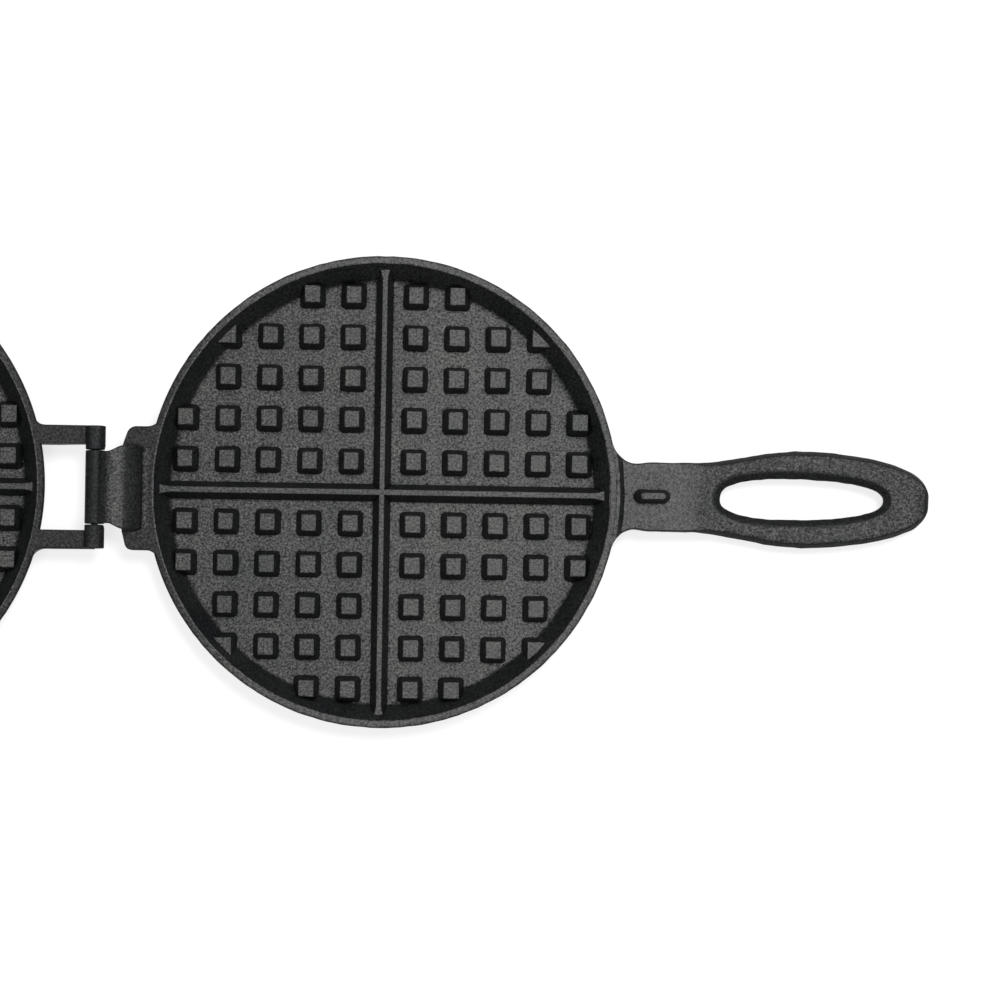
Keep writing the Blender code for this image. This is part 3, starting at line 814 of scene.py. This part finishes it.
def cast_iron():
    """Bare grey as painted light where the wear and painted light share is high and the corners are open,
    black skin as painted shade elsewhere, darkest in corners.
    """
    made, tree, shader = new_material("seasoned_cast_iron")
    place = add_node(tree, "TexCoord", {}).outputs["Object"]
    grain, ragged, blotch, sand = [add_node(tree, "TexNoise", {"Vector": place, **look}).outputs["Fac"]
                                   for look in (grain_look, ragged_look, blotch_look, sand_look)]
    grain_swing = calculated(tree, "SUBTRACT", grain, 0.5)
    ragged_swing = calculated(tree, "SUBTRACT", ragged, 0.5)

    height = add_node(tree, "SeparateXYZ", {"Vector": place}).outputs["Z"]
    scoured = add_node(tree, "MapRange", {"Value": height, **scoured_range}).outputs["Result"]
    calmer = calculated(tree, "MULTIPLY", grain_swing, scoured)
    bare_and_lit = colour_band(tree, calculated(tree, "ADD", calmer, 0.5), bare_and_lit_band, bare_and_lit_colours)
    # Painted shade: ambient occlusion darkens the black skin in corners and at the feet of the studs.
    corner = add_node(tree, "AmbientOcclusion", {"Distance": corner_shade_depth},
                      samples=corner_shade_samples, only_local=True).outputs["AO"]
    skin_and_shade = colour_band(tree, calculated(tree, "MULTIPLY", grain, corner), skin_and_shade_band, skin_and_shade_colours)

    # Painted shade: closed corners, roughened by grain, keep the dark colour.
    openness = calculated(tree, "MULTIPLY", grain_swing, grain_in_corners)
    openness = calculated(tree, "ADD", corner, openness)
    raggedness = calculated(tree, "MULTIPLY", ragged_swing, ragged_in_corners)
    openness = calculated(tree, "ADD", openness, raggedness)
    opened = add_node(tree, "MapRange", {"Value": openness, **open_range}, interpolation_type="SMOOTHSTEP")
    wear_and_light = add_node(tree, "Attribute", {}, attribute_name="wear_and_light").outputs["Fac"]
    bare_and_lit_share = calculated(tree, "MULTIPLY", wear_and_light, opened.outputs["Result"])
    half_bare_and_lit = calculated(tree, "MULTIPLY", bare_and_lit_share, calculated(tree, "SUBTRACT", 1.0, bare_and_lit_share))
    patches = calculated(tree, "MULTIPLY", grain_swing, grain_in_wear)
    patches = calculated(tree, "MULTIPLY", half_bare_and_lit, patches)
    bare_and_lit_share = calculated(tree, "ADD", bare_and_lit_share, patches)

    # Painted light and shade: the grey lit copy is mixed over the dark shaded one by the wear and painted
    # light share.
    colour = colour_mix(tree, bare_and_lit_share, skin_and_shade, bare_and_lit)
    wear = colour_band(tree, blotch, wear_band, wear_tints)
    colour = colour_mix(tree, 1, colour, wear, "MULTIPLY")
    specks = colour_band(tree, sand, speck_band, speck_shares)
    specks = calculated(tree, "MULTIPLY", specks, bare_and_lit_share)
    colour = colour_mix(tree, specks, colour, (*speck_colour, 1))
    sheen = colour_band(tree, blotch, sheen_band, sheen_shares)
    coarse = add_node(tree, "Bump", {"Height": grain, **grain_bump}).outputs["Normal"]
    fine = add_node(tree, "Bump", {"Height": sand, "Normal": coarse, **sand_bump}).outputs["Normal"]
    fill_inputs(tree, shader, {"Base Color": colour, "Roughness": sheen, "Normal": fine,
                               "Metallic": iron_metal, "Specular IOR Level": iron_specular})
    return made


iron = cast_iron()
for plate in (lower, upper):
    plate.data.materials.clear()
    plate.data.materials.append(iron)


# Hinge pin. A short steel pin driven through the barrel, its ends hammered over into low domes
# that stand proud on both sides. It carries a thin dull brown-grey oxide.
pin_edge = 0.0009
pin_colour = (0.075, 0.074, 0.072)
pin_rust = (0.045, 0.038, 0.034)
pin_metal = 0.8
pin_roughness = 0.48
oxide_look = {"Scale": 900, "Detail": 3}
oxide_bump = {"Strength": 0.3, "Distance": 0.0001}


def pin_steel():
    """Dull steel with a patchy oxide that stands a little proud."""
    made, tree, shader = new_material("oxidised_pin_steel")
    place = add_node(tree, "TexCoord", {}).outputs["Object"]
    oxide = add_node(tree, "TexNoise", {"Vector": place, **oxide_look}).outputs["Fac"]
    colour = colour_mix(tree, oxide, (*pin_rust, 1), (*pin_colour, 1))
    uneven = add_node(tree, "Bump", {"Height": oxide, **oxide_bump}).outputs["Normal"]
    fill_inputs(tree, shader, {"Base Color": colour, "Normal": uneven,
                               "Metallic": pin_metal, "Roughness": pin_roughness})
    return made


pin = rod_along_y("driven_pin", (pin_high[0] - pin_low[0]) / 2, pin_low[1], pin_high[1], pin_edge)
pin.data.shade_smooth()
pin.data.set_sharp_from_angle(angle=smooth_angle)
pin.data.materials.append(pin_steel())
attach(pin, "lower_half")
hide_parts("hinge_pin")


# Table. A wide matt white sheet under the iron, lit evenly, which goes out to plain white in
# the picture but keeps the soft contact shadow.
sheet_size = 14.0
sheet_white = (0.92, 0.92, 0.92, 1)
sheet_roughness = 0.9
sheet_glow = 0.72


def matt_white():
    """White paper that the camera, gloss and glass see as evenly bright, under plain shadows."""
    made, tree, shader = new_material("matt_white_sheet")
    fill_inputs(tree, shader, {"Base Color": sheet_white, "Roughness": sheet_roughness})
    rays = add_node(tree, "LightPath", {}).outputs
    seen = calculated(tree, "ADD", rays["Is Camera Ray"], rays["Is Glossy Ray"])
    seen = calculated(tree, "ADD", seen, rays["Is Transmission Ray"], use_clamp=True)
    seen = calculated(tree, "MULTIPLY", seen, sheet_glow)
    glow = add_node(tree, "Emission", {}).outputs["Emission"]
    blend = add_node(tree, "MixShader", {0: seen, 1: shader.outputs["BSDF"], 2: glow})
    fill_inputs(tree, tree.nodes["Material Output"], {"Surface": blend.outputs["Shader"]})
    return made


bpy.ops.mesh.primitive_plane_add(size=sheet_size, location=(0, 0, 0))
sheet = bpy.context.object
sheet.name = "white_sheet"
sheet.data.materials.append(matt_white())


# Light. One soft lamp hangs high above the handle's far side, a weaker one fills in from the
# near side, and a pale room lights what is left.
key_place = (0.40, 0.60, 1.7)
key_width = 0.7
key_power = 34
fill_place = (-0.3, -0.5, 1.6)
fill_width = 0.8
fill_power = 10
room_white = (1, 1, 1, 1)
room_strength = 0.42


def soft_lamp(name, place, width, power):
    """A round lamp that looks at the middle of the lower pan."""
    data = bpy.data.lights.new(name, "AREA")
    data.shape = "DISK"
    data.size = width
    data.energy = power
    lamp = bpy.data.objects.new(name, data)
    lamp.location = place
    lamp.rotation_euler = (-Vector(place)).to_track_quat("-Z", "Y").to_euler()
    bpy.context.scene.collection.objects.link(lamp)


soft_lamp("key_lamp", key_place, key_width, key_power)
soft_lamp("fill_lamp", fill_place, fill_width, fill_power)
room = bpy.data.worlds.new("pale_room")
bpy.context.scene.world = room
room.use_nodes = True
fill_inputs(room.node_tree, room.node_tree.nodes["Background"],
            {"Color": room_white, "Strength": room_strength})


# Camera. It looks straight down from a metre above the lower pan, a little to the near side of
# its centre, turned by a degree, with the frame shifted towards the handle as in the picture.
camera_height = 1.0
camera_back = 0.05
film_width = 36
picture_side = 1000
pan_centre_px = (381.9, 491.9)
pan_radius_px = 236.4
picture_turn = math.radians(0.95)
frame_width = picture_side * pan_radius / pan_radius_px
view = bpy.data.cameras.new("camera")
view.sensor_width = film_width
view.lens = film_width * camera_height / frame_width
view.shift_x = (picture_side / 2 - pan_centre_px[0]) / picture_side
view.shift_x += camera_back * math.sin(picture_turn) / frame_width
view.shift_y = (pan_centre_px[1] - picture_side / 2) / picture_side + camera_back / frame_width
camera = bpy.data.objects.new("camera", view)
camera.location = (0, -camera_back, rim_height + camera_height)
camera.rotation_euler = (0, 0, picture_turn)
bpy.context.scene.collection.objects.link(camera)
bpy.context.scene.camera = camera
bpy.context.scene.view_settings.view_transform = "Standard"
